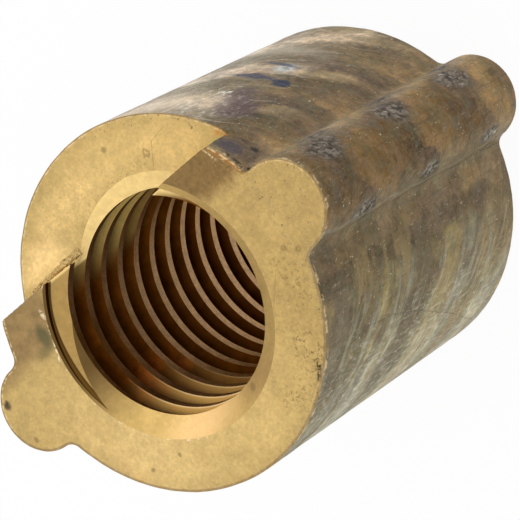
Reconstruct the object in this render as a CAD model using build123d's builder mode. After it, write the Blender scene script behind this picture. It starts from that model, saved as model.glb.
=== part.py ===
"""Oval spindle nut: a cast bronze bar section with two side ears, a stepped end and a coarse trapezoidal thread."""

import os
from math import radians, sqrt, tan

from build123d import *
from build123d.topology import SkipClean

os.makedirs("parts", exist_ok=True)

# --- cast profile (mm): round bar with one ear on +X and one on -X ---
BODY_R = 36.3
EAR_R = 9.25
EAR_REACH = 36.7  # bore axis to the centre of an ear
EAR_FILLET = 2.65  # hollow where an ear grows out of the bar
LENGTH = 81.0

# --- stepped end: a flat cut away beyond a straight chord on the +Y side ---
STEP_DEPTH = 8.4
STEP_OFFSET = 17.7  # bore axis to the step wall

# --- thread: right-hand, single start, for a 50 mm spindle of 6 mm pitch ---
PITCH = 6.0
SPINDLE_R = 25.0
ROOT_CLEARANCE = 0.1
THREAD_DEPTH = 3.6
FLANK = radians(20)
CREST_LAND = 1.8
GROOVE_LEAD = 2.85  # the first groove's middle crosses the +X side this far below the front face
MAJOR_R = SPINDLE_R + ROOT_CLEARANCE
MINOR_R = MAJOR_R - THREAD_DEPTH

# --- countersunk mouths, 120 degrees included ---
MOUTH_R = MAJOR_R + 0.5
MOUTH_SLOPE = radians(60)
MOUTH_TIP = MOUTH_R / tan(MOUTH_SLOPE)  # where the countersink's cone closes on the axis

# The hollow between bar and ear touches both, so its ends lie on the lines between centres.
bar_reach, ear_reach = BODY_R + EAR_FILLET, EAR_R + EAR_FILLET
hollow_x = (bar_reach**2 - ear_reach**2 + EAR_REACH**2) / (2 * EAR_REACH)
hollow_y = sqrt(bar_reach**2 - hollow_x**2)
bar_end = (hollow_x * BODY_R / bar_reach, hollow_y * BODY_R / bar_reach)
ear_end = (EAR_REACH + (hollow_x - EAR_REACH) * EAR_R / ear_reach, hollow_y * EAR_R / ear_reach)

with BuildPart() as nut:
    # Bar with its ears: one quarter of the outline, mirrored twice.
    with BuildSketch():
        with BuildLine():
            RadiusArc((0, BODY_R), bar_end, BODY_R)
            RadiusArc(bar_end, ear_end, -EAR_FILLET)
            RadiusArc(ear_end, (EAR_REACH + EAR_R, 0), EAR_R)
            Polyline((EAR_REACH + EAR_R, 0), (0, 0), (0, BODY_R))
        make_face()
        mirror(about=Plane.XZ)
        mirror(about=Plane.YZ)
    extrude(amount=LENGTH)

    # Step: everything beyond the chord is faced down.
    past = 2 * (EAR_REACH + EAR_R)
    with BuildSketch(Plane.XY.offset(LENGTH - STEP_DEPTH)):
        with Locations((0, STEP_OFFSET)):
            Rectangle(past, past, align=(Align.CENTER, Align.MIN))
    extrude(amount=STEP_DEPTH, mode=Mode.SUBTRACT)

    with SkipClean():
        # The bore is taken out in quarters, so each crest land stays in quarter-turn faces.
        for quarter in range(4):
            with BuildSketch(Plane.XY.rotated((0, 0, 90 * quarter))):
                with BuildLine():
                    CenterArc((0, 0), MINOR_R, 0, 90)
                    Polyline((0, MINOR_R), (0, 0), (MINOR_R, 0))
                make_face()
            extrude(amount=LENGTH, mode=Mode.SUBTRACT)

        # Countersinks at both mouths.
        with BuildSketch(Plane.XZ):
            with BuildLine():
                Polyline((0, LENGTH), (MOUTH_R, LENGTH), (0, LENGTH - MOUTH_TIP), close=True)
            make_face()
            with BuildLine():
                Polyline((0, 0), (MOUTH_R, 0), (0, MOUTH_TIP), close=True)
            make_face()
        revolve(axis=Axis.Z, mode=Mode.SUBTRACT)

# One turn of the groove: its trapezoid carried round a helix, from inside the bore to past the root,
# then trimmed to the root's cylinder.
overcut = 1.0
mouth_half = (PITCH - CREST_LAND) / 2
start_half = mouth_half + overcut * tan(FLANK)
end_half = mouth_half - (THREAD_DEPTH + overcut) * tan(FLANK)

with BuildPart() as groove_turn:
    with BuildLine() as helix:
        Helix(pitch=PITCH, height=PITCH, radius=MAJOR_R)
    with BuildSketch(Plane(origin=(0, 0, 0), x_dir=(1, 0, 0), z_dir=(0, -1, 0))):
        with BuildLine():
            Polyline(
                (MINOR_R - overcut, -start_half),
                (MAJOR_R + overcut, -end_half),
                (MAJOR_R + overcut, end_half),
                (MINOR_R - overcut, start_half),
                close=True,
            )
        make_face()
    sweep(path=helix.line, is_frenet=True)
    with Locations((0, 0, PITCH / 2)):
        Cylinder(MAJOR_R, 3 * PITCH, mode=Mode.INTERSECT)

# The groove runs out past both ends, turn upon turn.
turns = int(LENGTH / PITCH) + 3
first_turn = LENGTH - GROOVE_LEAD - (turns - 1) * PITCH
with nut:
    with SkipClean():
        with Locations([(0, 0, first_turn + PITCH * turn) for turn in range(turns)]):
            add(groove_turn.part, mode=Mode.SUBTRACT)

nut.part.label = "oval_nut"
export_step(nut.part, "parts/oval_nut.step")
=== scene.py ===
"""Looks of the oval spindle nut: skin, machined faces and thread, on a white floor in soft light."""
from math import atan2, hypot, pi, radians, sin, sqrt

import bpy
import numpy as np
from mathutils import Matrix, Vector, noise


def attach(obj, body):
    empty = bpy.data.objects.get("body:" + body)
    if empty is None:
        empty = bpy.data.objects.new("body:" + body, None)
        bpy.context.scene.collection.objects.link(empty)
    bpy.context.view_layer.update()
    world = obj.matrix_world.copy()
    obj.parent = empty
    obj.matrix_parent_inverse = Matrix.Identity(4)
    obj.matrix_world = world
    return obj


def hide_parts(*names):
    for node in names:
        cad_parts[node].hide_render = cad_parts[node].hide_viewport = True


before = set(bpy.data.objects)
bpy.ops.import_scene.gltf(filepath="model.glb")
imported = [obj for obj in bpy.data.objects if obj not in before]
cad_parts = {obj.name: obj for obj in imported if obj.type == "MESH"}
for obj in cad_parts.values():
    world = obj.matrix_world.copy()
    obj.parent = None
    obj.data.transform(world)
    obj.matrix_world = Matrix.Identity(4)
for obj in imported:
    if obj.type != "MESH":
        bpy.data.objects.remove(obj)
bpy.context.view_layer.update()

# Sizes in millimetres, as in the CAD model.
BODY_R, EAR_R, EAR_REACH, EAR_FILLET = 36.3, 9.25, 36.7, 2.65
LENGTH, STEP_DEPTH, STEP_OFFSET = 81.0, 8.4, 17.7
HOLLOW_X = ((BODY_R + EAR_FILLET) ** 2 - (EAR_R + EAR_FILLET) ** 2 + EAR_REACH**2) / (2 * EAR_REACH)
HOLLOW_Y = ((BODY_R + EAR_FILLET) ** 2 - HOLLOW_X**2) ** 0.5
BODY_TURN = atan2(HOLLOW_Y, HOLLOW_X)  # where the bar ends and the hollow begins, seen from the axis
EAR_TURN = atan2(HOLLOW_Y, HOLLOW_X - EAR_REACH)  # where the ear ends, seen from its own centre
HOLLOW_START = atan2(HOLLOW_Y, EAR_REACH - HOLLOW_X)
# Arc lengths of a quarter of the outline, from the ear's middle.
EAR_ARC = EAR_R * EAR_TURN
HOLLOW_ARC = EAR_FILLET * (pi - HOLLOW_START - BODY_TURN)
QUARTER = EAR_ARC + HOLLOW_ARC + BODY_R * (pi / 2 - BODY_TURN)
CORNER = (sqrt(BODY_R**2 - STEP_OFFSET**2), STEP_OFFSET)  # where the step meets the skin

CREST_R = 21.5

# The parts of the surface, and for each its material and the longest edge allowed before the wear is cut in.
SKIN, FACE, STEP, MOUTH, CREST, GROOVE = range(6)
MATERIAL = np.array([0, 1, 1, 2, 3, 4])
LONGEST = np.array([np.inf, 1.6, 0.7, 1.2, 1.3, 1.7])
SKIN_ROWS = 82  # rows of the skin's net, from the back face to the recess
SHARP_TURN = radians(20)  # edges that turn by more stay sharp


# ---------------------------------------------------------------- mesh
def welded(obj):
    """Vertices in millimetres and triangles of a CAD node, with shared corners joined."""
    mesh = obj.data
    co = np.empty(len(mesh.vertices) * 3, np.float32)
    mesh.vertices.foreach_get("co", co)
    mesh.calc_loop_triangles()
    tri = np.empty(len(mesh.loop_triangles) * 3, np.int32)
    mesh.loop_triangles.foreach_get("vertices", tri)
    co = co.reshape(-1, 3).astype(float) * 1000
    _, first, same = np.unique(np.round(co * 1e4), axis=0, return_index=True, return_inverse=True)
    co, tri = co[first], same.reshape(-1)[tri].reshape(-1, 3)
    whole = (tri[:, 0] != tri[:, 1]) & (tri[:, 1] != tri[:, 2]) & (tri[:, 2] != tri[:, 0])
    return co, tri[whole]


def normals(co, tri):
    n = np.cross(co[tri[:, 1]] - co[tri[:, 0]], co[tri[:, 2]] - co[tri[:, 0]])
    return n / np.maximum(np.linalg.norm(n, axis=1), 1e-12)[:, None]


def sort_faces(co, tri):
    """Which part of the surface each triangle is on."""
    n, mid = normals(co, tri), co[tri].mean(1)
    outward = n[:, 0] * mid[:, 0] + n[:, 1] * mid[:, 1]
    reach = np.hypot(mid[:, 0], mid[:, 1])
    kind = np.full(len(tri), GROOVE)
    kind[(abs(n[:, 2]) < 0.2) & (reach < CREST_R + 0.05)] = CREST
    kind[(abs(n[:, 2]) < 0.05) & (outward > 0) & (reach > 30)] = SKIN
    kind[abs(n[:, 2]) > 0.9995] = FACE
    at_step = (mid[:, 2] > LENGTH - STEP_DEPTH) & (abs(mid[:, 1] - STEP_OFFSET) < 0.01)
    kind[(n[:, 1] > 0.9995) & at_step] = STEP
    cone = (abs(abs(n[:, 2]) - 0.866) < 0.012) & (outward < 0) & (reach > 20)
    kind[cone & (np.minimum(mid[:, 2], LENGTH - mid[:, 2]) < 3)] = MOUTH
    return kind


def to_profile(xy):
    """Points moved onto the bar's outline, with its two ears and the hollows beside them."""
    x, y = abs(xy[:, 0]), abs(xy[:, 1])
    centre = np.zeros_like(xy)
    size = np.full(len(xy), BODY_R)
    hollow = np.arctan2(y, x) < BODY_TURN
    ear = hollow & (np.arctan2(y, x - EAR_REACH) < EAR_TURN)
    hollow &= ~ear
    centre[hollow], size[hollow] = (HOLLOW_X, HOLLOW_Y), EAR_FILLET
    centre[ear], size[ear] = (EAR_REACH, 0), EAR_R
    away = np.column_stack([x, y]) - centre
    away *= (size / np.maximum(np.hypot(away[:, 0], away[:, 1]), 1e-9))[:, None]
    return (centre + away) * np.where(xy < 0, -1, 1)


def arc_of(xy):
    """Arc length of points along the outline, from the middle of the nearer ear."""
    x, y = abs(xy[:, 0]), abs(xy[:, 1])
    turn, ear_turn = np.arctan2(y, x), np.arctan2(y, x - EAR_REACH)
    hollow_turn = np.arctan2(HOLLOW_Y - y, x - HOLLOW_X)
    return np.where(
        turn > BODY_TURN,
        EAR_ARC + HOLLOW_ARC + BODY_R * (turn - BODY_TURN),
        np.where(ear_turn < EAR_TURN, EAR_R * ear_turn, EAR_ARC + EAR_FILLET * (hollow_turn - HOLLOW_START)),
    )


def loop_of(xy):
    """Arc length of points all the way round, counter-clockwise from the middle of the +X ear."""
    arc = arc_of(xy)
    upper = np.where(xy[:, 0] >= 0, arc, 2 * QUARTER - arc)
    return np.where(xy[:, 1] >= 0, upper, 4 * QUARTER - upper) % (4 * QUARTER)


def outline_at(loop):
    """The point of the outline at each arc length counted by loop_of."""
    lap = loop % (4 * QUARTER)
    half = np.where(lap > 2 * QUARTER, 4 * QUARTER - lap, lap)
    arc = np.where(half > QUARTER, 2 * QUARTER - half, half)
    ear, hollow = arc / EAR_R, HOLLOW_START + (arc - EAR_ARC) / EAR_FILLET
    body = BODY_TURN + (arc - EAR_ARC - HOLLOW_ARC) / BODY_R
    x = np.where(arc < EAR_ARC, EAR_REACH + EAR_R * np.cos(ear), HOLLOW_X + EAR_FILLET * np.cos(hollow))
    y = np.where(arc < EAR_ARC, EAR_R * np.sin(ear), HOLLOW_Y - EAR_FILLET * np.sin(hollow))
    on_bar = arc > EAR_ARC + HOLLOW_ARC
    x = np.where(on_bar, BODY_R * np.cos(body), x) * np.where(half > QUARTER, -1, 1)
    y = np.where(on_bar, BODY_R * np.sin(body), y) * np.where(lap > 2 * QUARTER, -1, 1)
    return np.column_stack([x, y])


def inset(xy):
    """Distance of points from the outline."""
    return np.hypot(*(to_profile(xy) - xy).T)


def between(a, b, kinds):
    """The true middle of each edge a-b on the surface that it lies on."""
    middle = (a + b) / 2
    bore = (kinds & (1 << MOUTH | 1 << CREST | 1 << GROOVE)) > 0
    ra, rb = np.hypot(a[bore, 0], a[bore, 1]), np.hypot(b[bore, 0], b[bore, 1])
    way = a[bore, :2] / ra[:, None] + b[bore, :2] / rb[:, None]
    middle[bore, :2] = way / np.hypot(way[:, 0], way[:, 1])[:, None] * ((ra + rb) / 2)[:, None]
    # The rim of an end face keeps to the outline.
    rim = inset(a[:, :2]) + inset(b[:, :2]) < 0.01
    rim &= (abs(a[:, 2] - b[:, 2]) < 1e-3) & ((kinds & 1 << SKIN) > 0)
    middle[rim, :2] = to_profile(middle[rim, :2])
    return middle


def refine(co, tri, kind, longest):
    """Halves the longest edge of each triangle that is too long for its part, until none is left."""
    while True:
        ends = np.sort(tri[:, [0, 1, 1, 2, 2, 0]].reshape(-1, 2), axis=1)
        edge, side = np.unique(ends, axis=0, return_inverse=True)
        side = side.reshape(-1, 3)
        limit = np.full(len(edge), np.inf)
        np.minimum.at(limit, side.ravel(), np.repeat(longest[kind], 3))
        length = np.linalg.norm(co[edge[:, 0]] - co[edge[:, 1]], axis=1)
        longest_side = side[np.arange(len(tri)), np.argmax(length[side], axis=1)]
        split = np.zeros(len(edge), bool)
        split[longest_side[(length[side] > limit[side]).any(axis=1)]] = True
        if not split.any():
            return co, tri, kind
        kinds = np.zeros(len(edge), int)
        np.bitwise_or.at(kinds, side.ravel(), np.repeat(1 << kind, 3))
        fresh = np.full(len(edge), -1)
        fresh[split] = len(co) + np.arange(split.sum())
        co = np.vstack([co, between(co[edge[split, 0]], co[edge[split, 1]], kinds[split])])
        cut = fresh[side]
        count = (cut >= 0).sum(1)
        pieces, sorts = [tri[count == 0]], [kind[count == 0]]

        def turned(rows, start):
            order = (start[:, None] + np.arange(3)) % 3
            return np.take_along_axis(tri[rows], order, 1), np.take_along_axis(cut[rows], order, 1)

        def keep(rows, *new):
            for t in new:
                pieces.append(np.column_stack(t))
                sorts.append(kind[rows])

        rows = np.flatnonzero(count == 1)
        (a, b, c), (p, _, _) = (x.T for x in turned(rows, np.argmax(cut[rows] >= 0, axis=1)))
        keep(rows, (a, p, c), (p, b, c))
        rows = np.flatnonzero(count == 2)
        (a, b, c), (p, q, _) = (x.T for x in turned(rows, (np.argmin(cut[rows] >= 0, axis=1) + 1) % 3))
        first = np.linalg.norm(co[a] - co[b], axis=1) > np.linalg.norm(co[b] - co[c], axis=1)
        keep(rows, (p, b, q))
        keep(rows, (a, p, np.where(first, c, q)), (np.where(first, p, a), q, c))
        rows = np.flatnonzero(count == 3)
        (a, b, c), (p, q, r) = (x.T for x in turned(rows, np.zeros(len(rows), int)))
        keep(rows, (a, p, r), (p, b, q), (r, q, c), (p, q, r))
        tri, kind = np.vstack(pieces), np.concatenate(sorts)


def zipped(low, high):
    """Triangles between two chains of (vertex, arc length), both counter-clockwise, low below high."""
    tri, i, j = [], 0, 0
    while i < len(low) - 1 or j < len(high) - 1:
        low_left, high_left = i < len(low) - 1, j < len(high) - 1
        if not high_left or (low_left and low[i + 1][1] + low[i][1] < high[j + 1][1] + high[j][1]):
            tri.append((low[i][0], low[i + 1][0], high[j][0]))
            i += 1
        else:
            tri.append((low[i][0], high[j + 1][0], high[j][0]))
            j += 1
    return tri


def new_skin(co, tri, kind):
    """The cast skin as an even net between the machined faces' rims, in place of the CAD's long slivers."""
    tri, kind = tri[kind != SKIN], kind[kind != SKIN]
    ends = np.sort(tri[:, [0, 1, 1, 2, 2, 0]].reshape(-1, 2), axis=1)
    edge, uses = np.unique(ends, axis=0, return_counts=True)
    rim = np.unique(edge[uses == 1])
    loop, z, top, whole = loop_of(co[rim, :2]), co[rim, 2], LENGTH - STEP_DEPTH, 4 * QUARTER
    at_step = np.hypot(abs(co[rim, 0]) - CORNER[0], co[rim, 1] - CORNER[1]) < 0.02
    # Above the recess the skin goes from the left corner of the step, by way of -Y, to the right one.
    corner = float(arc_of(np.array([CORNER]))[0])
    start, stop = 2 * QUARTER - corner, corner + whole
    wrapped = np.where(loop < start - 0.01, loop + whole, loop)

    def chain(rows, place):
        return sorted(zip(rim[rows].tolist(), place[rows].tolist()), key=lambda p: p[1])

    breaks = [0, EAR_ARC, EAR_ARC + HOLLOW_ARC, stop - whole, QUARTER]
    spans = zip(breaks, breaks[1:], (0.9, 0.45, 0.8, 0.9))
    quarter = np.concatenate([np.linspace(a, b, round((b - a) / h), endpoint=False) for a, b, h in spans])
    half = np.concatenate([quarter, [QUARTER], 2 * QUARTER - quarter[:0:-1]])
    stations = np.concatenate([half, half + 2 * QUARTER])
    around = stations[(stations > start + 0.1) | (stations < stop - whole - 0.1)]
    around = np.sort(np.where(around < start, around + whole, around))
    points, chains, count = [co], [], len(co)

    def row(loops, height):
        nonlocal count
        points.append(np.column_stack([outline_at(loops), np.full(len(loops), height)]))
        count += len(loops)
        return list(zip(range(count - len(loops), count), loops.tolist()))

    def closed(chain):
        return chain + [(chain[0][0], chain[0][1] + whole)]

    chains.append(closed(chain(z < 0.01, loop)))
    for height in np.linspace(0, top, SKIN_ROWS)[1:-1]:
        chains.append(closed(row(stations, height)))
    step_row = row(around, top)
    recess = chain((abs(z - top) < 0.01) & (co[rim, 1] > STEP_OFFSET - 0.01), loop)
    level = sorted(((v, p % whole) for v, p in recess + step_row), key=lambda p: p[1])
    chains.append(closed(level))
    made = [t for low, high in zip(chains, chains[1:]) for t in zipped(low, high)]
    upper = [[(recess[-1][0], start)] + step_row + [(recess[0][0], stop)]]
    for height in np.unique(np.round(z[at_step & (z > top + 0.1) & (z < LENGTH - 0.1)], 4)):
        here = at_step & (abs(z - height) < 0.01)
        left, right = rim[here & (co[rim, 0] < 0)], rim[here & (co[rim, 0] > 0)]
        upper.append([(int(left[0]), start)] + row(around, height) + [(int(right[0]), stop)])
    upper.append(chain(z > LENGTH - 0.01, wrapped))
    made += [t for low, high in zip(upper, upper[1:]) for t in zipped(low, high)]
    used, tri = np.unique(np.vstack([tri, made]), return_inverse=True)
    return np.vstack(points)[used], tri.reshape(-1, 3), np.concatenate([kind, np.full(len(made), SKIN)])


co, tri = welded(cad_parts["oval_nut"])
kind = sort_faces(co, tri)
co, tri, kind = refine(co, tri, kind, LONGEST)
co, tri, kind = new_skin(co, tri, kind)

# Places for the paint, in millimetres: arc length from the nearer ear's middle, minus on the -Y side, depth
# below the front face, and distance in from the outline.
wall_s = arc_of(co[:, :2]) * np.where(co[:, 1] < 0, -1, 1)
wall_d = LENGTH - co[:, 2]
rim = inset(co[:, :2])

# Laps and nicks in the skin: arc length, depth, half width, half height and sink.
LAPS = (
    (-10.2, 16.5, 0.8, 3.0, 0.5), (-10.6, 47.0, 0.8, 3.6, 0.6), (-10.4, 72.0, 0.9, 3.4, 0.6),
    (9.2, 15.5, 0.7, 2.4, 0.4), (8.6, 43.0, 0.7, 2.2, 0.3), (16.8, 0.0, 1.0, 1.4, 0.7),
    (-16.0, 3.0, 0.5, 5.0, 0.25),
)

# Dents: place, radius and push, all in millimetres.
DENTS = (
    ((CORNER[0], CORNER[1], LENGTH), 3.2, (-0.35, -0.25, -0.5)),  # torn corner of the step
    ((35.5, 9.75, LENGTH), 1.6, (-0.9, -0.5, -0.8)),  # notch in the hollow beside the ear
    ((-43.3, 4.9, LENGTH), 1.1, (0.7, -0.3, -0.4)),  # nick in the -X ear
    ((CORNER[0], CORNER[1], LENGTH - STEP_DEPTH), 1.8, (-0.8, -0.2, -0.3)),  # tip of the recess
    ((21.9, -27.9, LENGTH), 1.6, (-0.5, 0.6, -0.5)),  # bruise on the rim
)


def wear(co, tri, kind):
    """The skin's unevenness, the laps beside the ears, the dents and the torn step. Nothing moves outward."""
    worn = co.copy()
    for i in np.unique(tri[kind == SKIN]):
        at = Vector(co[i])
        sink = 0.16 * max(noise.noise(at * 0.09), 0)
        sink += 0.1 * max(noise.noise(at * 0.35 + Vector((9, 0, 0))), 0)
        sink += 0.05 * max(noise.noise(at * 1.2), 0)
        s, d = wall_s[i], wall_d[i]
        for ls, ld, wide, tall, deep in LAPS:
            away = ((s - ls) / wide) ** 2 + ((d - ld) / tall) ** 2
            if away < 6 and (at.x > 0 or ld > 20):
                sink += deep * np.exp(-away) * (0.6 + 0.8 * noise.noise(at * 1.1 + Vector((0, 5, 0))))
        inward = min(max(sink, 0.0), 0.9)
        centre = np.array([0.0, 0.0])
        if abs(co[i, 0]) > EAR_REACH - 4 and abs(co[i, 1]) < EAR_R:
            centre = np.array([np.sign(co[i, 0]) * EAR_REACH * 0.85, 0.0])
        way = centre - co[i, :2]
        worn[i, :2] += way / max(np.hypot(*way), 1e-6) * inward
    step = np.unique(tri[kind == STEP])
    for i in step[co[step, 2] > LENGTH - 0.01]:
        at = Vector(co[i])
        bite = 0.28 * (noise.noise(at * 0.9) + 0.45) + 0.12 * (noise.noise(at * 2.7) + 0.3)
        worn[i, 1] -= max(bite, 0.0)
        worn[i, 2] -= 0.35 * max(bite, 0.0)
    for at, radius, move in DENTS:
        away = np.linalg.norm(co - at, axis=1) / radius
        near = np.flatnonzero(away < 1)
        rough = np.array([0.75 + 0.5 * noise.noise(Vector(co[i]) * 0.9) for i in near])
        worn[near] += ((1 - away[near] ** 2) ** 2 * rough)[:, None] * move
    return worn


sharp_normals = normals(co, tri)
co = wear(co, tri, kind)
mesh = bpy.data.meshes.new("nut")
mesh.from_pydata((co / 1000).tolist(), [], tri.tolist())
mesh.polygons.foreach_set("material_index", MATERIAL[kind].astype(np.int32))
mesh.polygons.foreach_set("use_smooth", np.ones(len(tri), bool))
for name, values in (("wall_s", wall_s), ("wall_d", wall_d), ("rim", rim)):
    mesh.attributes.new(name, "FLOAT", "POINT").data.foreach_set("value", values.astype(np.float32))
mesh.update()
# Each edge is matched with the two triangles that share it, and stays sharp where they turn by enough.
ends = np.empty(len(mesh.edges) * 2, np.int32)
mesh.edges.foreach_get("vertices", ends)
ends = np.sort(ends.reshape(-1, 2).astype(np.int64), axis=1)
code = ends[:, 0] * len(co) + ends[:, 1]
sides = np.sort(tri[:, [0, 1, 1, 2, 2, 0]].reshape(-1, 2), axis=1)
face = np.repeat(np.arange(len(tri)), 3)
order = np.argsort(sides[:, 0] * len(co) + sides[:, 1], kind="stable")
pairs = face[order].reshape(-1, 2)
fold = (sharp_normals[pairs[:, 0]] * sharp_normals[pairs[:, 1]]).sum(1) < np.cos(SHARP_TURN)
sharp = np.zeros(len(ends), bool)
sharp[np.argsort(code)] = fold
mesh.attributes.new("sharp_edge", "BOOLEAN", "EDGE").data.foreach_set("value", sharp)
nut = bpy.data.objects.new("nut_bar", mesh)
bpy.context.scene.collection.objects.link(nut)
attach(nut, "root")
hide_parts("oval_nut")


def step_burr():
    """The torn strip that the cutter left on the recess beside the step: a low ridge with ragged edges."""
    start, end, across, along = (-28.0, 19.1), (-12.6, 19.3), 11, 100
    floor = LENGTH - STEP_DEPTH
    points = []
    for i in range(along + 1):
        t = i / along
        x, y = start[0] + (end[0] - start[0]) * t, start[1] + (end[1] - start[1]) * t
        here = Vector((x, 0, 0))
        wide = 0.3 + 1.5 * t**0.6 * (0.9 + 0.5 * noise.noise(here * 0.5) + 0.3 * noise.noise(here * 1.7))
        high = 0.08 + 0.3 * t**0.4 * (0.8 + 0.7 * noise.noise(here * 0.6 + Vector((0, 7, 0))))
        y += 0.3 * noise.noise(here * 0.7 + Vector((0, 0, 3)))
        for j in range(across):
            u = j / (across - 1)
            rise = high * (1.3 - 0.8 * u) * sin(pi * u) ** 0.4
            rise += 0.2 * noise.noise(Vector((x, wide * u * 2, 5)) * 1.2)
            points.append((x, y - wide / 2 + wide * u, floor + max(rise, 0) * (0 < j < across - 1)))
    # The underside is one flat row of quads between the two edges.
    quads = []
    for i in range(along):
        for j in range(across - 1):
            a = i * across + j
            quads.append((a, a + across, a + across + 1, a + 1))
        quads.append((i * across, i * across + across - 1, (i + 2) * across - 1, (i + 1) * across))
    ends = [tuple(range(across)), tuple(range(along * across, (along + 1) * across))[::-1]]
    data = bpy.data.meshes.new("step_burr")
    data.from_pydata([(x / 1000, y / 1000, z / 1000) for x, y, z in points], [], quads + ends)
    data.polygons.foreach_set("use_smooth", np.ones(len(data.polygons), bool))
    obj = bpy.data.objects.new("step_burr", data)
    bpy.context.scene.collection.objects.link(obj)
    return obj


burr = step_burr()
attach(burr, "root")


# ---------------------------------------------------------------- materials
class Nodes:
    """Adds to the nodes of a material or world. Sockets and plain values are given alike."""

    def __init__(self, owner):
        owner.use_nodes = True
        self.tree = owner.node_tree

    def set(self, socket, value):
        if isinstance(value, bpy.types.NodeSocket):
            self.tree.links.new(value, socket)
        elif isinstance(value, tuple) and len(value) == 3 and socket.type == "RGBA":
            socket.default_value = (*value, 1)
        else:
            socket.default_value = value

    def add(self, kind, out=0, **values):
        n = self.tree.nodes.new(kind)
        for key, value in values.items():
            if hasattr(n, key) and not isinstance(value, bpy.types.NodeSocket) and key not in n.inputs:
                setattr(n, key, value)
            else:
                self.set(n.inputs[key], value)
        return n.outputs[out]

    def math(self, operation, *values):
        n = self.tree.nodes.new("ShaderNodeMath")
        n.operation = operation
        for socket, value in zip(n.inputs, values):
            self.set(socket, value)
        return n.outputs[0]

    def parts(self, vector):
        """The X, Y and Z of a vector."""
        n = self.tree.nodes.new("ShaderNodeSeparateXYZ")
        self.set(n.inputs[0], vector)
        return n.outputs

    def times(self, first, *others):
        """The product of all the values."""
        for value in others:
            first = self.math("MULTIPLY", first, value)
        return first

    def swayed(self, value, source, reach):
        """The value, moved by noise to either side by up to half the reach."""
        return self.math("ADD", value, self.times(self.math("SUBTRACT", source, 0.5), reach))

    def reach(self, u, v):
        """Length of the vector (u, v)."""
        return self.math("SQRT", self.math("ADD", self.times(u, u), self.times(v, v)))


class Paint(Nodes):
    """One material of the nut, painted by places in millimetres."""

    def __init__(self, name, **surface):
        self.material = bpy.data.materials.new(name)
        super().__init__(self.material)
        self.shader = self.tree.nodes["Principled BSDF"]
        for key, value in surface.items():
            self.set(self.shader.inputs[key.replace("_", " ")], value)
        place = self.add("ShaderNodeTexCoord", out="Object")
        self.mm = self.add("ShaderNodeVectorMath", operation="SCALE", Vector=place, Scale=1000)
        self.x, self.y, self.z = self.parts(self.mm)
        self.colour = None

    def ease(self, value, start, end, low=0, high=1):
        """Smooth change from low to high as value goes from start to end."""
        return self.add(
            "ShaderNodeMapRange",
            interpolation_type="SMOOTHSTEP",
            **{"Value": value, "From Min": start, "From Max": end, "To Min": low, "To Max": high},
        )

    def noise(self, scale, detail=3, roughness=0.55, stretch=None, seed=0, place=None):
        """Noise with features of about 1 / scale millimetres, squeezed along X, Y and Z by stretch."""
        place = place or self.mm
        if stretch:
            place = self.add("ShaderNodeVectorMath", operation="MULTIPLY", Vector=place)
            place.node.inputs[1].default_value = stretch
        return self.add(
            "ShaderNodeTexNoise",
            noise_dimensions="4D",
            **{"Vector": place, "W": seed, "Scale": scale, "Detail": detail, "Roughness": roughness},
        )

    def mix(self, amount, a, b, blend="MIX"):
        n = self.tree.nodes.new("ShaderNodeMix")
        n.data_type, n.blend_type = "RGBA", blend
        for socket, value in zip((n.inputs[0], n.inputs[6], n.inputs[7]), (amount, a, b)):
            self.set(socket, value)
        return n.outputs[2]

    def ramp(self, value, *stops):
        n = self.tree.nodes.new("ShaderNodeValToRGB")
        self.set(n.inputs[0], value)
        stock = n.color_ramp.elements
        while len(stock) < len(stops):
            stock.new(1)
        for element, (position, colour) in zip(stock, stops):
            element.position, element.color = position, (*colour, 1)
        return n.outputs[0]

    def spot(self, u, v, at, size, soft, wobble=None):
        """1 inside an ellipse of that size round a point, 0 outside."""
        du = self.math("DIVIDE", self.math("SUBTRACT", u, at[0]), size[0])
        dv = self.math("DIVIDE", self.math("SUBTRACT", v, at[1]), size[1])
        away = self.reach(du, dv)
        if wobble:
            away = self.swayed(away, wobble, 2.2)
        return self.ease(away, 1 + soft, 1 - soft)

    def stroke(self, u, v, start, end, width, wobble=None):
        """1 on a thin line from start to end, 0 away from it."""
        (u0, v0), (u1, v1) = start, end
        length = hypot(u1 - u0, v1 - v0)
        cu, cv = (u1 - u0) / length, (v1 - v0) / length
        du, dv = self.math("SUBTRACT", u, u0), self.math("SUBTRACT", v, v0)
        along = self.math("ADD", self.times(du, cu), self.times(dv, cv))
        across = self.math("SUBTRACT", self.times(du, cv), self.times(dv, cu))
        if wobble:
            across = self.swayed(across, wobble, 6 * width)
        line = self.ease(self.math("ABSOLUTE", across), width, width * 0.3)
        ends = self.times(self.ease(along, -1, 0.5), self.ease(along, length + 1, length - 0.5))
        return self.times(line, ends)

    def coat(self, paint, *masks):
        """Lays a paint over the colour so far, as thick as the product of the masks. The first covers all."""
        self.colour = paint if self.colour is None else self.mix(self.times(*masks), self.colour, paint)

    def mottled(self, colour, scale, amount, seed=0, **more):
        """The colour, lightened and darkened by noise."""
        n = self.noise(scale, seed=seed, **more)
        dark, light = 1 - amount, 1 + amount
        return self.mix(1, colour, self.ramp(n, (0.3, (dark,) * 3), (0.7, (light,) * 3)), "MULTIPLY")

    def mottle(self, *how, **more):
        self.colour = self.mottled(self.colour, *how, **more)

    def bump(self, height, strength, distance, normal=None):
        n = self.tree.nodes.new("ShaderNodeBump")
        n.inputs["Strength"].default_value, n.inputs["Distance"].default_value = strength, distance
        self.set(n.inputs["Height"], height)
        if normal:
            self.set(n.inputs["Normal"], normal)
        return n.outputs[0]

    def finish(self, roughness, normal=None):
        """Joins the colour, roughness and bumps to the surface, and gives the material."""
        self.set(self.shader.inputs["Base Color"], self.colour)
        self.set(self.shader.inputs["Roughness"], roughness)
        if normal:
            self.set(self.shader.inputs["Normal"], normal)
        return self.material


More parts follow.
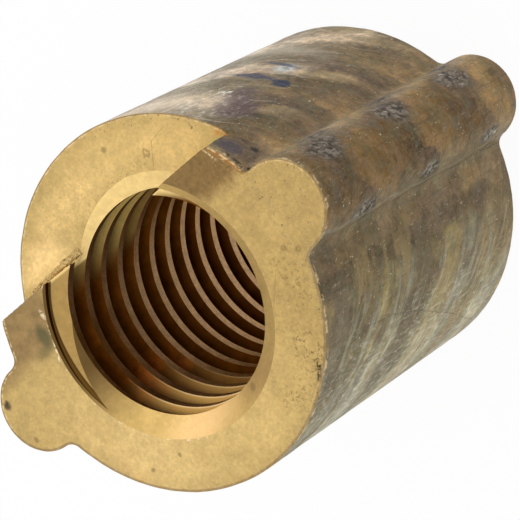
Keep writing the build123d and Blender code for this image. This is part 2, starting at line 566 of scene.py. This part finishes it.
# The cycles of oxide round the bar, with painted sheen in the palest colours of the first zone and of the
# zones from 31 on, where the sides turn away. Each zone has the arc length from the ear's middle at which it
# begins, half the width of its blend, and its colours over one cycle, from the front of one pull to the next.
OXIDE_AND_SHEEN_ZONES = (
    (-70, 0, (
        (0, (0.62, 0.6, 0.41)), (0.15, (0.62, 0.61, 0.44)), (0.38, (0.52, 0.5, 0.35)),
        (0.48, (0.28, 0.26, 0.14)), (0.8, (0.23, 0.2, 0.1)), (0.95, (0.3, 0.27, 0.14)),
    )),
    (-43, 5, (
        (0, (0.38, 0.32, 0.14)), (0.12, (0.36, 0.31, 0.15)), (0.25, (0.25, 0.22, 0.11)),
        (0.37, (0.4, 0.38, 0.26)), (0.5, (0.2, 0.165, 0.07)), (0.9, (0.24, 0.2, 0.09)),
    )),
    (-37, 4, (
        (0, (0.36, 0.28, 0.1)), (0.12, (0.31, 0.24, 0.09)), (0.24, (0.2, 0.165, 0.09)),
        (0.38, (0.25, 0.22, 0.13)), (0.52, (0.155, 0.12, 0.05)), (0.92, (0.19, 0.145, 0.06)),
    )),
    (-26, 2, ((0, (0.125, 0.088, 0.04)), (0.5, (0.12, 0.083, 0.04)))),
    (-21, 1, (
        (0, (0.22, 0.15, 0.08)), (0.3, (0.18, 0.125, 0.065)), (0.36, (0.3, 0.205, 0.085)),
        (0.54, (0.27, 0.18, 0.075)), (0.6, (0.22, 0.15, 0.07)),
    )),
    (-17, 1.5, (
        (0, (0.26, 0.21, 0.12)), (0.3, (0.27, 0.205, 0.11)), (0.7, (0.21, 0.165, 0.085)),
        (0.95, (0.17, 0.14, 0.075)),
    )),
    (-9, 3, (
        (0, (0.22, 0.125, 0.045)), (0.13, (0.28, 0.16, 0.046)), (0.3, (0.23, 0.13, 0.032)),
        (0.5, (0.15, 0.08, 0.02)), (0.75, (0.12, 0.065, 0.016)), (0.93, (0.1, 0.055, 0.018)),
        (0.985, (0.06, 0.036, 0.015)),
    )),
    (8, 2.5, (
        (0, (0.4, 0.3, 0.19)), (0.15, (0.43, 0.31, 0.17)), (0.4, (0.42, 0.29, 0.13)),
        (0.6, (0.33, 0.22, 0.1)), (0.85, (0.26, 0.2, 0.12)),
    )),
    (16, 1.5, (
        (0, (0.32, 0.21, 0.11)), (0.16, (0.15, 0.098, 0.06)), (0.36, (0.19, 0.125, 0.06)),
        (0.4, (0.38, 0.24, 0.1)), (0.55, (0.3, 0.19, 0.075)), (0.9, (0.16, 0.105, 0.05)),
    )),
    (22, 2, (
        (0, (0.42, 0.31, 0.17)), (0.1, (0.38, 0.27, 0.14)), (0.19, (0.12, 0.08, 0.052)),
        (0.38, (0.16, 0.105, 0.055)), (0.46, (0.24, 0.155, 0.065)), (0.6, (0.17, 0.11, 0.045)),
        (0.9, (0.12, 0.08, 0.035)),
    )),
    (31, 3, (
        (0, (0.8, 0.61, 0.42)), (0.17, (0.82, 0.64, 0.46)), (0.27, (0.46, 0.36, 0.23)),
        (0.4, (0.22, 0.17, 0.1)), (0.75, (0.18, 0.14, 0.08)), (0.9, (0.25, 0.2, 0.13)),
    )),
    (43, 4, (
        (0, (0.9, 0.77, 0.62)), (0.2, (0.92, 0.77, 0.62)), (0.35, (0.56, 0.47, 0.36)),
        (0.6, (0.36, 0.32, 0.25)), (0.9, (0.42, 0.37, 0.29)),
    )),
)
# How far below the front face the first front lies, by arc length to either side of the ear.
FRONTS = (
    (0, 13.5), (3, 14), (6, 16.8), (8.5, 19.8), (12, 22.5), (15, 25.5), (18, 27), (21, 26), (25, 24),
    (29, 22), (33, 20), (37, 17.5), (41, 15.5), (45, 13), (50, 11), (70, 4),
)
CYCLE = 26.7  # length of bar drawn by each pull


def cast_skin():
    """Oxide in soft cycles, one to each pull of the bar through its die, with scale, scratches and marks,
    and painted sheen and glints.
    """
    p = Paint("cast_skin", Metallic=0.4, Specular_IOR_Level=0.2, Specular_Tint=(0.95, 0.86, 0.72))
    s = p.add("ShaderNodeAttribute", out="Fac", attribute_name="wall_s")
    d = p.add("ShaderNodeAttribute", out="Fac", attribute_name="wall_d")
    # Curves go from 0 to 1, so the fronts are drawn on one in shares of these reaches.
    widest, deepest = 70, 40
    curve = p.tree.nodes.new("ShaderNodeFloatCurve")
    p.set(curve.inputs["Value"], p.math("DIVIDE", p.math("ABSOLUTE", s), widest))
    line = curve.mapping.curves[0]
    for i, (at, depth) in enumerate(FRONTS):
        point = line.points[i] if i < 2 else line.points.new(0.5, 0.5)
        point.location = (at / widest, depth / deepest)
    curve.mapping.update()
    level = p.math("SUBTRACT", d, p.times(curve.outputs[0], deepest))
    level = p.math("SUBTRACT", level, p.ease(s, -20, -30, 0, 2.5))
    level = p.math("ADD", level, p.ease(s, 22, 30, 0, 2.5))
    flow = p.add("ShaderNodeCombineXYZ", X=s, Y=level, Z=0)
    # The fronts are combed a little along the bar, frayed, and smeared along themselves.
    comb = p.noise(0.6, detail=3, stretch=(1, 1, 0.06), seed=3)
    fray = p.noise(0.5, detail=6, roughness=0.7, seed=4)
    drift = p.noise(0.09, detail=2, seed=5)
    smear = p.noise(0.35, detail=4, roughness=0.6, stretch=(0.16, 1, 1), seed=15, place=flow)
    phase = level
    for source, reach in ((comb, 3), (fray, 3.5), (drift, 6), (smear, 5)):
        phase = p.swayed(phase, source, reach)
    phase = p.math("FRACT", p.math("DIVIDE", p.math("ADD", phase, 10 * CYCLE), CYCLE))
    place = p.swayed(s, fray, 7)
    # Oxide by zones; the pale stops of the outer zones are partly painted sheen.
    for start, blend, stops in OXIDE_AND_SHEEN_ZONES:
        zone = p.ramp(phase, *stops, (1, stops[0][1]))
        p.coat(zone, p.ease(place, start - blend, start + blend))
    # Patches come and go: the oxide is thin here and thick there.
    plain = p.mix(p.ease(p.x, 15, 30), (0.3, 0.27, 0.17), (0.19, 0.135, 0.065))
    patch = p.noise(0.13, detail=5, roughness=0.6, seed=12)
    p.coat(plain, p.ease(patch, 0.53, 0.6, 0, 0.45))
    p.coat((0.52, 0.37, 0.18), p.ease(d, 60, 76, 0, 0.25))
    p.mottle(0.14, 0.45, seed=13, detail=5, roughness=0.6)
    p.mottle(0.45, 0.36, seed=1, detail=4, roughness=0.55)
    p.mottle(1.5, 0.12, seed=2, detail=4)
    tints = (
        (0.15, 17, (0.2, 0.165, 0.075), (0.19, 0.13, 0.1)),
        (0.4, 14, (0.17, 0.17, 0.11), (0.3, 0.19, 0.1)),
    )
    for scale, seed, olive, plum in tints:
        patch = p.noise(scale, detail=6, roughness=0.58, seed=seed)
        p.coat(olive, p.ease(patch, 0.53, 0.57, 0, 0.26))
        p.coat(plum, p.ease(patch, 0.47, 0.43, 0, 0.26))
    # Strokes along the fronts, pale and dark, strongest away from the ear.
    away = p.ease(p.math("ABSOLUTE", s), 18, 34, 0.05, 1)
    strokes = p.noise(0.5, detail=4, roughness=0.6, stretch=(0.15, 1, 1), seed=16, place=flow)
    thin = p.noise(0.11, detail=4, seed=19)
    band = p.noise(0.13, detail=3, roughness=0.5, stretch=(0.2, 1, 1), seed=20, place=flow)
    below = p.ease(s, -16, -26)
    p.coat((0.16, 0.12, 0.07), below, p.ease(band, 0.48, 0.42, 0, 0.5))
    p.coat((0.42, 0.3, 0.12), below, p.ease(band, 0.56, 0.6, 0, 0.45))
    silver = p.times(p.ease(band, 0.5, 0.53), p.ease(band, 0.57, 0.54, 0, 0.35))
    p.coat((0.55, 0.55, 0.43), p.ease(s, -24, -36), silver)
    away = p.times(away, p.ease(thin, 0.57, 0.42, 0.3, 1))
    pale = p.mix(p.ease(s, -10, 20), (0.62, 0.62, 0.48), (0.95, 0.8, 0.6))
    p.coat(pale, away, p.ease(strokes, 0.53, 0.66, 0, 0.36))
    p.coat((0.1, 0.075, 0.04), away, p.ease(strokes, 0.47, 0.36, 0, 0.3))
    # Rubbed streaks and dark drag lines along the bar, pits of black scale, and chips down to clean metal
    # painted near white as glints.
    rub = p.noise(2, detail=5, roughness=0.62, stretch=(1, 1, 0.2), seed=6)
    p.coat(p.mix(0.6, p.colour, (0.9, 0.8, 0.58)), p.ease(rub, 0.58, 0.68, 0, 0.28))
    drag = p.noise(1.3, detail=4, roughness=0.6, stretch=(1, 1, 0.09), seed=7)
    p.coat((0.05, 0.035, 0.02), p.ease(drag, 0.58, 0.68, 0, 0.28))
    pits = p.noise(1.1, detail=6, roughness=0.75, seed=8)
    p.coat((0.05, 0.04, 0.025), p.ease(pits, 0.58, 0.66, 0, 0.6))
    chip_glints = p.noise(2.2, detail=4, roughness=0.6, seed=9, stretch=(1, 1, 0.6))
    p.coat((0.95, 0.86, 0.66), p.ease(chip_glints, 0.65, 0.7, 0, 0.8))
    # The seams beside the ear, stains, a smear of blue marker and a hairline, with painted glints and shadow.
    wobble = p.noise(0.8, detail=5, roughness=0.65, seed=31)
    sway = p.noise(0.12, detail=2, seed=32)
    here = p.ease(p.x, -1, 1)
    worn = p.ease(p.noise(1.3, detail=5, roughness=0.7, seed=33, stretch=(1, 1, 0.3)), 0.52, 0.62)
    rough = p.ease(wobble, 0.46, 0.54)

    def spot(*shape):
        return p.spot(s, d, *shape)

    def stroke(*shape):
        return p.stroke(s, d, *shape)

    marks = [
        (stroke((-12.6, -1), (-16.2, 82), 0.22, sway), (0.06, 0.055, 0.04), 0.5),
        (stroke((-11.2, -1), (-14.6, 82), 0.8, sway), (0.36, 0.34, 0.27), 0.4),
        (stroke((-0.3, -1), (0.1, 82), 0.16, sway), (0.07, 0.05, 0.045), 0.4),
        (spot((30.3, 19.5), (3.6, 6.4), 0.3, fray), (0.11, 0.066, 0.07), 0.95),
        (spot((32.8, 26.5), (2.4, 4.2), 0.4, fray), (0.13, 0.085, 0.09), 0.85),
        # Painted sheen: a soft pale patch high on the +Y side.
        (spot((42, 15), (8, 9), 0.9, fray), (0.95, 0.8, 0.6), 0.5),
        (spot((41, 59.5), (8, 3.2), 0.8, fray), (0.7, 0.62, 0.49), 0.42),
        (spot((-2.5, 15.5), (4, 6), 0.8, wobble), (0.12, 0.072, 0.025), 0.4),
        # Painted glints: white specks on worn skin, at the top and down the -Y side.
        (p.times(spot((40, 17.5), (9, 9), 0.8), worn), (1, 0.93, 0.82), 0.7),
        (p.times(spot((36.2, 27.5), (1.6, 3), 0.6), worn), (1, 0.95, 0.86), 1),
        (p.times(spot((-50, 40), (14, 50), 0.6), worn), (0.95, 0.92, 0.78), 0.35),
        (spot((30.4, 38), (1.7, 2.1), 0.3, fray), (0.025, 0.04, 0.08), 1),
        (spot((37, 38.6), (4.6, 1.6), 0.5, fray), (0.04, 0.045, 0.1), 0.9),
        (spot((34.4, 46.8), (1.2, 2.6), 0.8, fray), (0.3, 0.36, 0.38), 0.6),
        (p.times(spot((34.4, 46.8), (1.9, 2.9), 0.6), rough), (0.8, 0.86, 0.87), 0.75),
        (spot((36.4, 48.6), (3.4, 1.1), 0.5, fray), (0.05, 0.065, 0.12), 0.85),
        (spot((21.8, 3.8), (2.6, 2.2), 0.5, wobble), (0.08, 0.07, 0.09), 0.8),
        (spot((18.7, 7.9), (1, 0.7), 0.4, wobble), (0.03, 0.025, 0.02), 0.9),
    ]
    # Painted shadow under the burr on the rim beside the ear, and painted glints along the rim's burr.
    marks.append((p.times(stroke((13, 0.5), (21.5, 0.9), 0.7), rough), (0.03, 0.018, 0.01), 0.95))
    marks.append((p.times(p.ease(d, 1.2, 0.5), p.ease(fray, 0.5, 0.58)), (0.85, 0.65, 0.36), 0.8))
    hairline = ((-37.8, 4.8), (-35, 16), (-36.2, 27.8), (-39.3, 39.3), (-45.8, 56.3), (-56, 77))
    for start, end in zip(hairline, hairline[1:]):
        marks.append((stroke(start, end, 0.18, wobble), (0.07, 0.065, 0.05), 0.42))
    shard = p.noise(1.1, detail=3, roughness=0.6, seed=34, stretch=(1, 1, 0.45))
    # Scale is left in rows of dark flakes down both sides of the ear, one to each pull, with painted glints
    # on them.
    for pull in range(3):
        for at, size in (((5.4, 11.5), (3.4, 5)), ((10.5, 16), (1.6, 4)), ((-10.4, 16.5), (1.7, 4.2))):
            centre = (at[0], at[1] + pull * CYCLE)
            marks.append((spot(centre, size, 0.6, wobble), (0.11, 0.082, 0.065), 0.8))
            grey = p.times(spot(centre, size, 0.4, fray), p.ease(shard, 0.48, 0.54))
            marks.append((grey, (0.31, 0.265, 0.215) if at[0] > 0 else (0.42, 0.41, 0.32), 0.7))
            crack = p.times(spot(centre, size, 0.4), p.ease(wobble, 0.52, 0.55))
            marks.append((crack, (0.02, 0.018, 0.014), 0.9))
            # Painted glints on the flakes.
            painted_glint = p.times(spot(centre, size, 0.4), p.ease(shard, 0.66, 0.7))
            marks.append((painted_glint, (0.9, 0.86, 0.74), 0.6))
    for mask, paint, depth in marks:
        p.coat(paint, mask, here, depth)
    height = p.math("ADD", p.times(rub, 0.5), pits)
    height = p.math("SUBTRACT", height, p.times(drag, 0.5))
    swell = p.bump(p.math("ADD", fray, p.noise(0.25, detail=3, seed=18)), 0.5, 0.003)
    return p.finish(p.ease(pits, 0.3, 0.7, 0.36, 0.56), p.bump(height, 0.5, 0.0006, swell))


def machined_face():
    """Fly-cut brass, clouded and pitted, with brown stains beside the step and dirt at the rim,
    and painted sheen, shade and glints.
    """
    p = Paint("machined_face", Metallic=0.85)
    rim = p.add("ShaderNodeAttribute", out="Fac", attribute_name="rim")
    front = p.ease(p.z, LENGTH - 5, LENGTH - 4)
    back = p.math("SUBTRACT", 1, front)
    reach = p.reach(p.x, p.y)
    wobble = p.noise(0.3, detail=6, roughness=0.65, seed=9)
    p.colour = p.mix(front, (0.62, 0.43, 0.16), (0.54, 0.375, 0.138))
    # Painted light: the front face darkens towards +X and the recess and back brighten towards +X,
    # painted sheens brighten broad patches, and the brass dulls towards the rims.
    right = p.mix(front, (0.66, 0.45, 0.16), (0.49, 0.33, 0.115))
    p.coat(right, p.ease(p.x, 8, 30, 0, 0.6))
    painted_sheen = (
        ((-20, -21), (17, 13), (0.75, 0.53, 0.215), 0.85, front),
        ((-28, -3), (7, 6), (0.66, 0.46, 0.18), 0.25, front),
        ((4, -28), (16, 7), (0.63, 0.44, 0.165), 0.6, front),
        ((-21, 22.5), (6, 4), (0.97, 0.68, 0.29), 0.85, back),
        ((-8, 28), (8, 3.5), (0.84, 0.58, 0.23), 0.8, back),
        ((17, 25), (7, 5), (0.74, 0.5, 0.19), 0.4, back),
    )
    for at, size, paint, depth, side in painted_sheen:
        p.coat(paint, p.spot(p.x, p.y, at, size, 0.9, wobble), side, depth)
    p.coat((0.42, 0.29, 0.1), p.ease(rim, 4, 0.5, 0, 0.3))
    p.mottle(0.09, 0.1, seed=1, detail=4)
    p.mottle(0.35, 0.15, seed=2, detail=7, roughness=0.7)
    p.mottle(1.4, 0.15, seed=3, detail=5, roughness=0.68)
    warm = p.noise(0.2, detail=4, seed=5)
    p.coat((0.62, 0.36, 0.13), p.ease(warm, 0.5, 0.7, 0, 0.18))
    # Brown stains run from the step's corners, darker and greener in spots.
    edge = p.swayed(p.y, wobble, 7)
    stain = p.times(p.ease(edge, 8, 12), p.ease(p.x, 10, 18), front)
    p.coat(p.mottled((0.2, 0.115, 0.04), 0.9, 0.3, seed=21, detail=5), stain, 0.88)
    stain = p.times(p.ease(edge, 5, 10), p.ease(p.x, -16, -22), front)
    p.coat(p.mottled((0.27, 0.17, 0.07), 0.7, 0.25, seed=22, detail=5), stain, 0.85)
    crumbs = p.ease(p.noise(1.5, detail=6, roughness=0.75, seed=16), 0.53, 0.6)
    bits = p.ease(p.noise(1.3, detail=5, roughness=0.65, seed=17), 0.42, 0.52)

    def spot(*shape):
        return p.spot(p.x, p.y, *shape)

    def stroke(*shape):
        return p.stroke(p.x, p.y, *shape)

    marks = (
        (spot((-25.4, 10), (1.3, 2.4), 0.8, wobble), (0.07, 0.08, 0.035), 0.75, front),
        (spot((-27.6, 7.6), (2, 1), 0.8, wobble), (0.12, 0.1, 0.04), 0.5, front),
        (p.times(stroke((23, -26.4), (20.9, -28.9), 0.8), bits), (0.03, 0.022, 0.008), 0.95, front),
        (p.times(spot((23.2, -24), (3.6, 5.5), 0.8), crumbs), (0.1, 0.07, 0.02), 0.85, front),
        (p.times(spot((15, -28.5), (4, 3), 0.8), crumbs), (0.17, 0.11, 0.035), 0.75, front),
        (p.times(spot((29.5, -12), (4.5, 6), 0.8), crumbs), (0.19, 0.12, 0.035), 0.7, front),
        (p.times(spot((-8, 27), (9, 4.5), 0.8), crumbs), (0.38, 0.27, 0.08), 0.5, back),
        (p.times(spot((8, 24.6), (9, 1), 0.8), crumbs), (0.3, 0.2, 0.06), 0.7, back),
        (p.times(spot((33, 14), (3.5, 5), 0.3), p.ease(rim, 1.6, 0.9)), (0.36, 0.17, 0.05), 0.8, front),
        # Painted glints along the edges by the step's right corner.
        (p.times(stroke((30.2, 17.4), (31, 14.9), 0.24, wobble), bits), (0.85, 0.64, 0.35), 0.7, front),
        (p.times(stroke((31, 14.9), (33.6, 13), 0.24, wobble), bits), (0.85, 0.64, 0.35), 0.6, front),
        # Painted shade in the notch beside the ear and in a small hole at the step.
        (spot((35.2, 9.9), (0.9, 0.6), 0.5, wobble), (0.03, 0.018, 0.01), 0.95, front),
        (spot((-17.5, 17.4), (0.7, 0.45), 0.4), (0.03, 0.012, 0.004), 0.95, front),
        # Painted glints on the burr by the countersink at the left.
        (p.times(stroke((-23, 11.2), (-25.8, 4.6), 0.26, wobble), bits), (1, 0.86, 0.6), 0.75, front),
        (p.times(spot((-22.6, 13.4), (0.5, 1), 0.6), bits), (1, 0.84, 0.56), 0.6, front),
        (spot((-18.6, 17.2), (0.3, 0.6), 0.6, wobble), (1, 0.86, 0.6), 0.9, front),
        (spot((-43.2, 4.2), (0.8, 1), 0.5, wobble), (0.07, 0.05, 0.025), 0.85, front),
        (spot((-42.2, -4.7), (0.5, 0.7), 0.5), (0.2, 0.13, 0.05), 0.6, front),
        (spot((-23, -23.3), (0.5, 0.4), 0.5), (0.2, 0.13, 0.05), 0.6, front),
        (spot((-15.6, -24.1), (0.4, 0.5), 0.5), (0.2, 0.13, 0.05), 0.6, front),
        (spot((30.4, 18.9), (1.5, 1), 0.7, wobble), (0.62, 0.24, 0.05), 0.75, back),
        (spot((28.4, 18.4), (2.4, 0.5), 0.7), (0.5, 0.48, 0.16), 0.5, back),
        (spot((6.2, 30.9), (0.6, 0.6), 0.5), (0.3, 0.2, 0.07), 0.7, back),
        (stroke((12.9, 21.8), (16.2, 26.2), 0.14, wobble), (0.4, 0.26, 0.08), 0.7, back),
        (stroke((16.2, 26.2), (20.6, 26.6), 0.12, wobble), (0.4, 0.26, 0.08), 0.6, back),
        (stroke((26.6, -9), (21.8, -13.6), 0.12, wobble), (0.36, 0.23, 0.07), 0.6, front),
    )
    for mask, paint, depth, side in marks:
        p.coat(paint, mask, side, depth)
    rings = (((13.7, 25.15), 0.65, back), ((31.9, -5.8), 0.4, front), ((34.2, -7.7), 0.5, front))
    for at, size, side in rings:
        away = p.reach(p.math("SUBTRACT", p.x, at[0]), p.math("SUBTRACT", p.y, at[1]))
        away = p.math("ABSOLUTE", p.math("SUBTRACT", p.swayed(away, bits, 0.3), size))
        p.coat((0.22, 0.14, 0.05), p.ease(away, 0.42, 0.1), side, 0.5)
    # Specks and pits with pale lips, thicker at the rim and on the +X ear.
    pits = p.noise(1.7, detail=5, roughness=0.7, seed=6)
    thick = p.math("MAXIMUM", p.ease(rim, 5, 0), p.ease(p.x, 27, 34, 0, 0.8))
    thick = p.times(thick, p.ease(p.x, -10, 20, 0.25, 1))
    limit = p.math("SUBTRACT", 0.68, p.times(thick, 0.11))
    over = p.math("SUBTRACT", pits, limit)
    pitted = p.ease(over, -0.01, 0.04)
    p.coat((0.85, 0.66, 0.33), p.ease(over, -0.05, -0.02, 0, 0.2))
    p.coat((0.16, 0.1, 0.03), pitted, 0.75)
    # Painted highlights: a bright line on the rim's burr and glints on the burr at the countersink;
    # and a brown line round the rim.
    flake = p.noise(0.9, detail=5, roughness=0.7, seed=14)
    p.coat((0.85, 0.64, 0.33), p.ease(rim, 0.8, 0.4), p.ease(flake, 0.44, 0.62, 0, 0.8))
    worn = p.ease(p.y, 4, -6, 0.35, 0.75)
    p.coat((0.24, 0.15, 0.065), p.ease(rim, worn, p.times(worn, 0.5)), 0.7)
    countersink_glint = p.times(p.ease(reach, 26.1, 25.75), p.ease(p.y, 5, 2), front, p.ease(p.x, -5, -12))
    p.coat((0.9, 0.72, 0.45), countersink_glint, p.ease(flake, 0.55, 0.63))
    grain = p.noise(2.2, detail=6, roughness=0.72, seed=4)
    height = p.math("SUBTRACT", grain, p.times(pitted, 0.8))
    height = p.math("ADD", height, p.times(wobble, 1.5))
    return p.finish(p.ease(grain, 0.3, 0.7, 0.36, 0.5), p.bump(height, 0.35, 0.0003))


def countersink():
    """Turned brass, with painted shade and a painted highlight."""
    p = Paint("countersink", Metallic=0.88)
    p.colour = p.mottled((0.6, 0.4, 0.135), 0.2, 0.1, seed=1, detail=4)
    p.mottle(1.2, 0.1, seed=2, detail=5)
    # Painted shade darkens the left and a little of the right, and a painted highlight brightens the bottom.
    painted_left_shade = p.times(p.ease(p.y, -15, 1), p.ease(p.x, 0, -8))
    p.coat((0.1, 0.05, 0.013), painted_left_shade, 0.9)
    p.coat((0.33, 0.19, 0.07), p.spot(p.x, p.y, (9.5, -21.5), (6.5, 3.5), 0.8), 0.5)
    p.coat((0.9, 0.58, 0.27), p.spot(p.x, p.y, (-8, -22), (8, 3.5), 0.8), 0.6)
    p.coat((0.2, 0.12, 0.05), p.spot(p.x, p.y, (6.8, -22.3), (0.8, 0.8), 0.5), 0.5)
    grain = p.noise(2, detail=4, seed=4)
    return p.finish(p.ease(grain, 0.3, 0.7, 0.38, 0.5), p.bump(grain, 0.2, 0.00015))


def crest():
    """Pale from wear deep in the bore; painted shade makes the first turns brown on the +Y side, and a
    painted highlight makes the crests golden at the bottom, on the -Y side.
    """
    p = Paint("thread_crest", Metallic=0.95, Specular_Tint=(0.85, 0.65, 0.45))
    depth = p.math("SUBTRACT", LENGTH, p.z)
    depth = p.swayed(depth, p.noise(0.25, detail=3, seed=3), 12)
    # Painted shade: brown on the first turns, on the +Y side.
    brown = p.times(p.ease(depth, 26, 8), p.ease(p.y, 16, 4))
    first = p.mix(p.ease(p.y, 9, -4), (0.13, 0.055, 0.015), (0.21, 0.1, 0.038))
    p.colour = p.mix(brown, (0.42, 0.26, 0.135), first)
    # Painted highlight: golden crests at the -Y side, which face the key light.
    gold = p.times(p.ease(p.y, -12, -18.5), p.ease(depth, 45, 15))
    p.coat((0.62, 0.4, 0.17), gold, 0.85)
    p.mottle(0.8, 0.2, seed=1, detail=4)
    p.mottle(3, 0.28, seed=2)
    grain = p.noise(3, detail=3, seed=4)
    return p.finish(0.38, p.bump(grain, 0.3, 0.0002))


def groove():
    """Painted dark inside for the shade of the bore, clean on the first ledge, and lit olive above and golden
    below on the next few flanks, in painted light.
    """
    p = Paint("thread_groove", Metallic=0.85, Specular_IOR_Level=0, Specular_Tint=(0.5, 0.3, 0.12))
    facing = p.parts(p.add("ShaderNodeNewGeometry", out="Normal"))
    upward = p.ease(facing[2], 0.5, 0.9)
    reach = p.reach(p.x, p.y)
    depth = p.math("SUBTRACT", LENGTH, p.z)
    depth = p.math("SUBTRACT", depth, p.ease(p.y, 14, 18, 0, STEP_DEPTH))
    cloud = p.noise(0.12, detail=4, seed=3)
    # Painted shade: the grooves are near black, with a painted red glow of light bounced between the flanks.
    dark = p.mix(p.ease(cloud, 0.42, 0.6), (0.12, 0.034, 0.002), (0.15, 0.045, 0.004))
    painted_glow = p.times(p.spot(p.y, depth, (-8.5, 15), (5, 13), 0.5), p.ease(cloud, 0.42, 0.56))
    dark = p.mix(p.times(painted_glow, 0.6), dark, (0.42, 0.1, 0.012))
    p.colour = p.mottled(dark, 0.5, 0.3, seed=1, detail=4)
    # Painted light on the flanks that face the opening: olive at the top, golden at the bottom.
    olive = p.times(p.ease(p.y, 12.5, 20), p.ease(depth, 26, 12), upward)
    p.coat(p.mottled((0.4, 0.27, 0.08), 0.8, 0.1, seed=2, detail=4), olive)
    gold = p.times(p.ease(p.y, -5, -17), p.ease(depth, 32, 12), upward)
    gold = p.times(gold, p.ease(reach, 25, 21.8, 0.25, 1))
    p.coat((0.56, 0.32, 0.09), gold)
    # The first ledge is clean, but for painted shade along its root: a brown band and a dark line.
    recess = p.times(p.ease(depth, 2.2, 1.6), p.ease(p.y, 17, 17.6))
    first = p.math("MAXIMUM", p.ease(p.math("SUBTRACT", LENGTH, p.z), 4.4, 3.6), recess)
    ledge = p.times(first, upward)
    left = p.times(p.ease(p.x, 0, -6), p.ease(p.y, 17.7, 17.5))
    clean = p.mix(p.math("MAXIMUM", recess, p.ease(p.x, -6, 0)), (0.45, 0.285, 0.095), (0.9, 0.65, 0.265))
    side = p.mix(p.ease(p.y, 2, 12), (0.14, 0.068, 0.012), (0.05, 0.022, 0.005))
    p.coat(side, first, left)
    p.coat(p.mottled(clean, 0.7, 0.12, seed=5, detail=4), ledge)
    foot = p.ease(p.y, 0, 14, 24.35, 24.8)
    p.coat((0.14, 0.068, 0.012), ledge, left, p.ease(p.math("SUBTRACT", reach, foot), 0, 0.15))
    line = p.ease(p.math("ABSOLUTE", p.math("SUBTRACT", reach, foot)), 0.24, 0.08)
    p.coat((0.045, 0.02, 0.006), ledge, left, line, 0.85)
    # Painted highlights along the crests' edges.
    edge = p.times(upward, p.ease(reach, 21.85, 21.6))
    edge = p.times(edge, p.math("MAXIMUM", gold, p.times(ledge, p.ease(p.y, 2, -6))))
    p.coat((0.95, 0.68, 0.33), edge, 0.7)
    shiny = p.math("MAXIMUM", p.math("MAXIMUM", olive, gold), ledge)
    return p.finish(p.ease(shiny, 0, 1, 0.5, 0.42))


def burr_metal():
    """Torn brass, with painted shade in its hollows."""
    p = Paint("burr", Metallic=0.8)
    p.colour = p.mottled((0.62, 0.43, 0.17), 0.9, 0.3, seed=1, detail=5, roughness=0.65)
    height = p.noise(1.6, detail=5, roughness=0.65, seed=3)
    # Painted shade where the bumps are low.
    p.coat((0.2, 0.12, 0.04), p.ease(height, 0.46, 0.4), 0.75)
    return p.finish(0.42, p.bump(height, 0.6, 0.0006))


for paint in (cast_skin, machined_face, countersink, crest, groove):
    mesh.materials.append(paint())
burr.data.materials.append(burr_metal())


# ---------------------------------------------------------------- floor, light and camera
def background_rays(nodes):
    """1 for rays that show the background: from the camera, or by way of a glossy or clear surface."""
    ray = nodes.tree.nodes.new("ShaderNodeLightPath").outputs
    bounced = nodes.math("MAXIMUM", ray["Is Glossy Ray"], ray["Is Transmission Ray"])
    return nodes.math("MAXIMUM", ray["Is Camera Ray"], bounced)


bpy.ops.mesh.primitive_plane_add(size=4, location=(0, 0, -0.0002))
floor = bpy.context.object
floor.name = "floor"
white = bpy.data.materials.new("floor_white")
nodes = Nodes(white)
matt = nodes.tree.nodes["Principled BSDF"]
nodes.set(matt.inputs["Base Color"], (0.95, 0.95, 0.95))
nodes.set(matt.inputs["Roughness"], 0.9)
# A little of the shaded floor shows through the white, and with it the nut's shadow.
share = nodes.times(background_rays(nodes), 0.94)
blend = nodes.tree.nodes.new("ShaderNodeMixShader")
for socket, value in zip(blend.inputs, (share, matt.outputs[0], nodes.add("ShaderNodeEmission"))):
    nodes.set(socket, value)
nodes.set(nodes.tree.nodes["Material Output"].inputs[0], blend.outputs[0])
floor.data.materials.append(white)

# A studio tent: brighter overhead than at the horizon, and white where it shows as the background.
world = bpy.data.worlds.new("studio")
nodes = Nodes(world)
rise = nodes.parts(nodes.add("ShaderNodeTexCoord", out="Generated"))[2]
tent = nodes.add("ShaderNodeMapRange", **{"Value": rise, "To Min": 0.6, "To Max": 1.05})
tent = nodes.add("ShaderNodeMapRange", **{"Value": background_rays(nodes), "To Min": tent, "To Max": 1})
sky = nodes.tree.nodes["Background"]
nodes.set(sky.inputs["Strength"], tent)
nodes.set(sky.inputs["Color"], (1, 1, 1))
bpy.context.scene.world = world


def softbox(name, place, aim, wide, tall, brightness):
    """A rectangular lamp whose face has that brightness, where 1 is white."""
    light = bpy.data.lights.new(name, "AREA")
    light.shape, light.size, light.size_y = "RECTANGLE", wide, tall
    light.energy = brightness * pi * wide * tall
    lamp = bpy.data.objects.new(name, light)
    lamp.location = place
    lamp.rotation_euler = (Vector(aim) - Vector(place)).to_track_quat("-Z", "Y").to_euler()
    bpy.context.scene.collection.objects.link(lamp)


softbox("key", (-0.1, 0.75, 0.7), (0, 0, 0.05), 0.8, 0.5, 0.9)
softbox("side", (-0.21, -0.02, 0.33), (0, 0, 0.08), 0.12, 0.12, 0.8)

eye, aim = Vector((0.3290, -0.0427, 0.5207)), Vector((0.02602, -0.00486, 0.081))
up = Vector((0.5197, 0.8040, -0.2889))
back = (eye - aim).normalized()
right = up.cross(back).normalized()
camera = bpy.data.objects.new("camera", bpy.data.cameras.new("camera"))
camera.data.lens = 202.7
camera.data.sensor_width = 36
camera.matrix_world = Matrix.Translation(eye) @ Matrix((right, back.cross(right), back)).transposed().to_4x4()
bpy.context.scene.collection.objects.link(camera)
bpy.context.scene.camera = camera
bpy.context.scene.view_settings.view_transform = "Standard"
